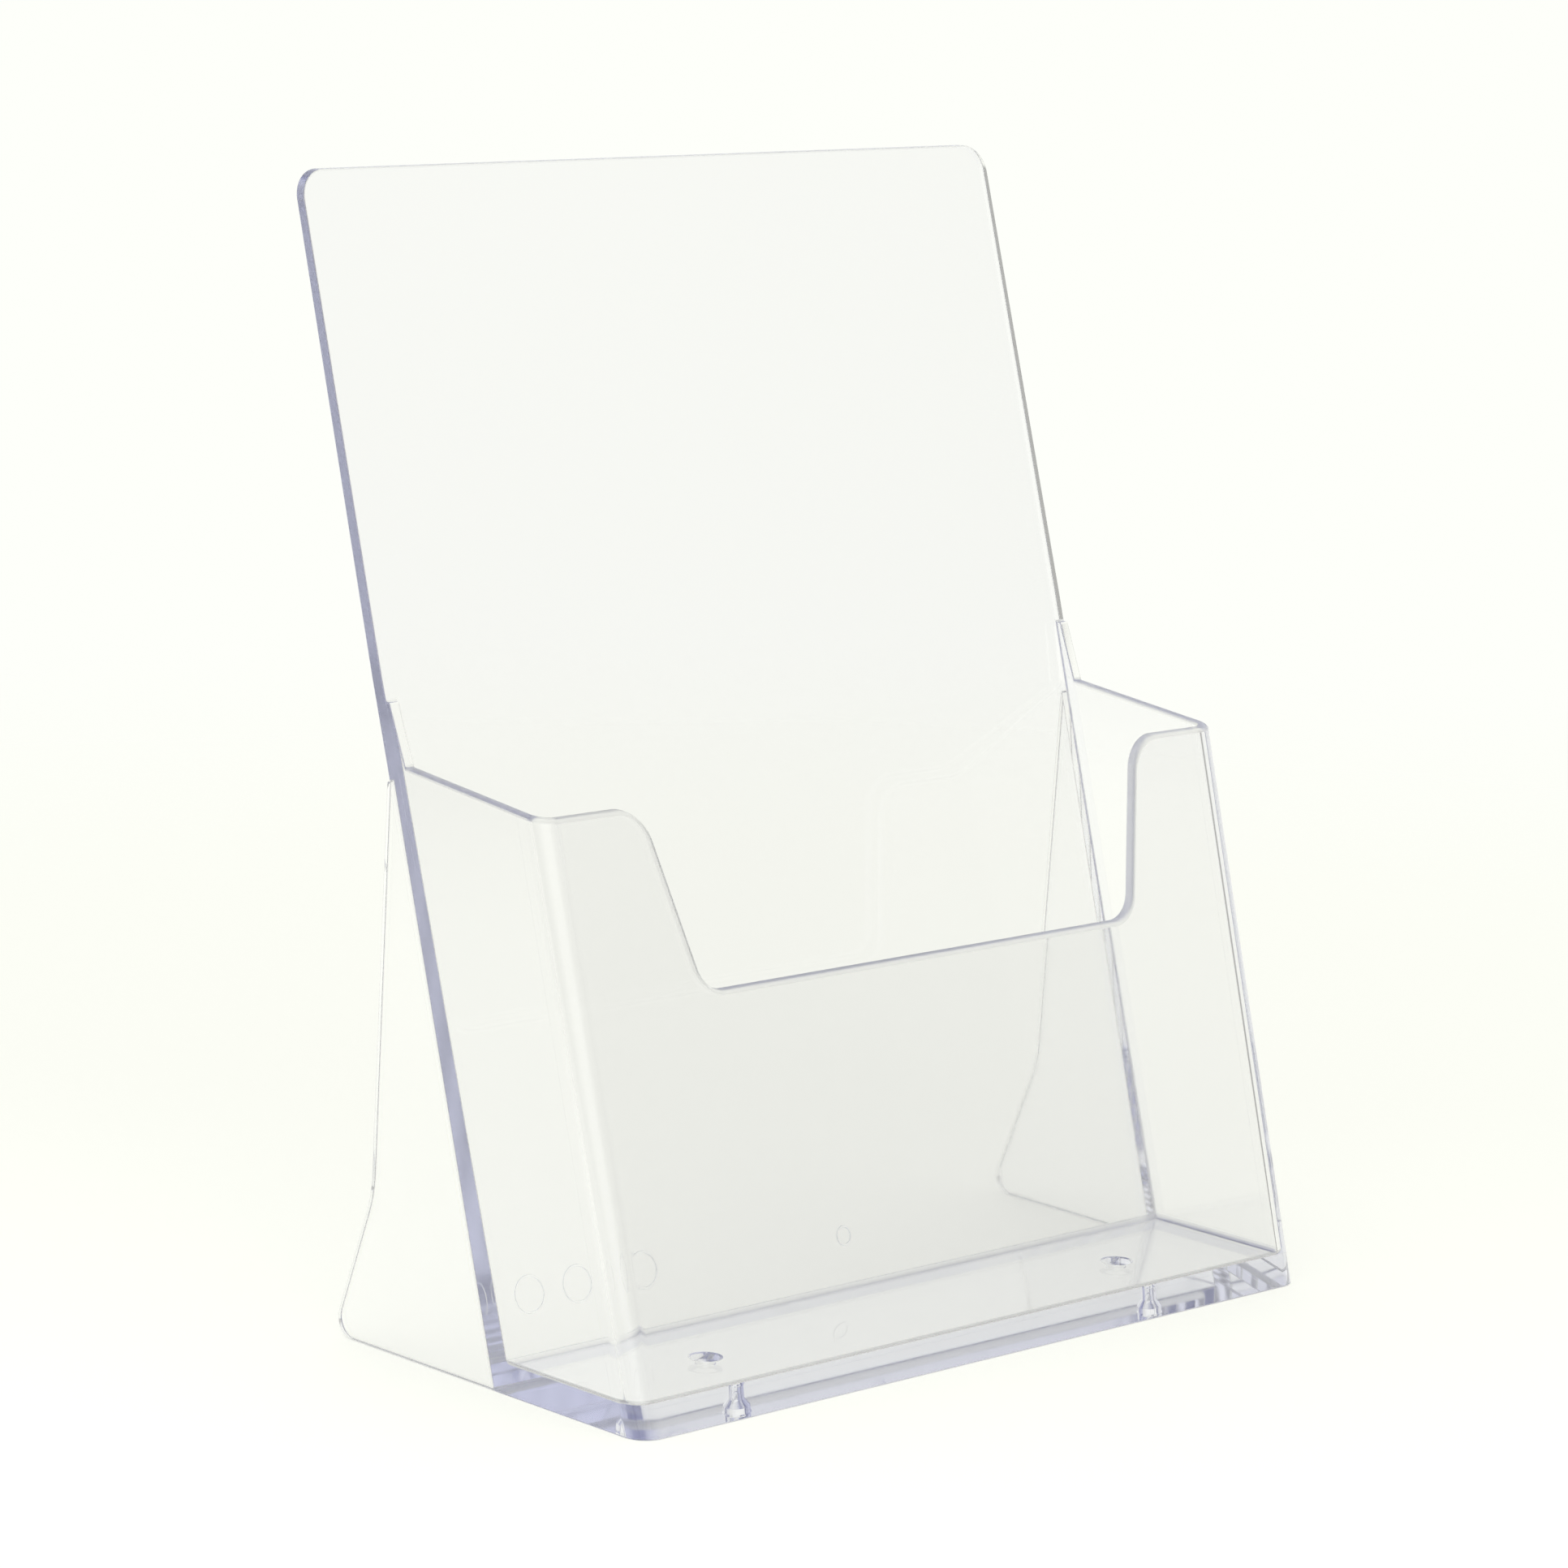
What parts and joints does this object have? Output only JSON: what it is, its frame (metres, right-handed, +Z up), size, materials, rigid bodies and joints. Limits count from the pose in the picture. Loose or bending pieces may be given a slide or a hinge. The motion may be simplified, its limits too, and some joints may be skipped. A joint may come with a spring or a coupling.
{
  "type": "magazine rack",
  "caption": "Clear countertop magazine rack: a tall leaning back panel, a front pocket with a thumb cut-out, a thick floor and two rear prop legs.",
  "frame": {"origin": "centre of the rack's box, on the surface that it stands on", "axes": "+Z up, +Y towards the back (the panel leans that way), +X to the right as seen from the front"},
  "size_m": [0.1628, 0.095, 0.199],
  "materials": {
    "clear_polystyrene": "clear, high gloss, faint blue-violet tint where the light runs along a wall"
  },
  "bodies": {
    "root": {"back_panel": "clear_polystyrene", "pocket_floor": "clear_polystyrene", "front_wall": "clear_polystyrene", "left_side_wall": "clear_polystyrene", "left_shoulder_gusset": "clear_polystyrene", "left_leg": "clear_polystyrene", "right_side_wall": "clear_polystyrene", "right_shoulder_gusset": "clear_polystyrene", "right_leg": "clear_polystyrene", "gate_mark": "clear_polystyrene", "mould_mark_1": "clear_polystyrene", "mould_mark_2": "clear_polystyrene", "mould_mark_3": "clear_polystyrene"}
  },
  "joints": []
}
